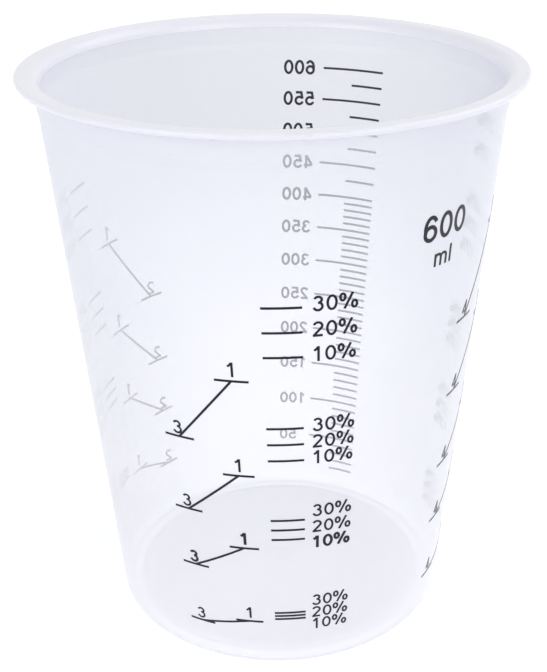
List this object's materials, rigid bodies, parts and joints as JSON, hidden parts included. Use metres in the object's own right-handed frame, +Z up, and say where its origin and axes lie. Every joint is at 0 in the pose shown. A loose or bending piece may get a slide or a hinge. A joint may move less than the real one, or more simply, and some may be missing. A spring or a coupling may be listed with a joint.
{
  "type": "mixing cup",
  "caption": "Tapered translucent mixing cup with a flared flange, a stacking ledge and a foot ring, printed with a volume scale and mixing ratio marks for dosing resin.",
  "frame": {"origin": "centre of the foot ring, on the surface that the cup stands on", "axes": "+Z up along the cup's axis to the mouth; -Y towards the viewer who reads the 3 to 1 scale; +X to that viewer's right"},
  "size_m": [0.104, 0.104, 0.124],
  "materials": {
    "clear_plastic": "natural translucent polypropylene, glossy outside and in",
    "ink": "thin dark screen ink, satin"
  },
  "bodies": {
    "root": {"cup": "clear_plastic", "volume_scale": "ink", "mix_marks_2_to_1": "ink", "thinner_lines_2_to_1": "ink", "mix_marks_3_to_1": "ink", "thinner_lines_3_to_1": "ink", "mix_marks_4_to_1": "ink", "thinner_lines_4_to_1": "ink"}
  },
  "joints": []
}
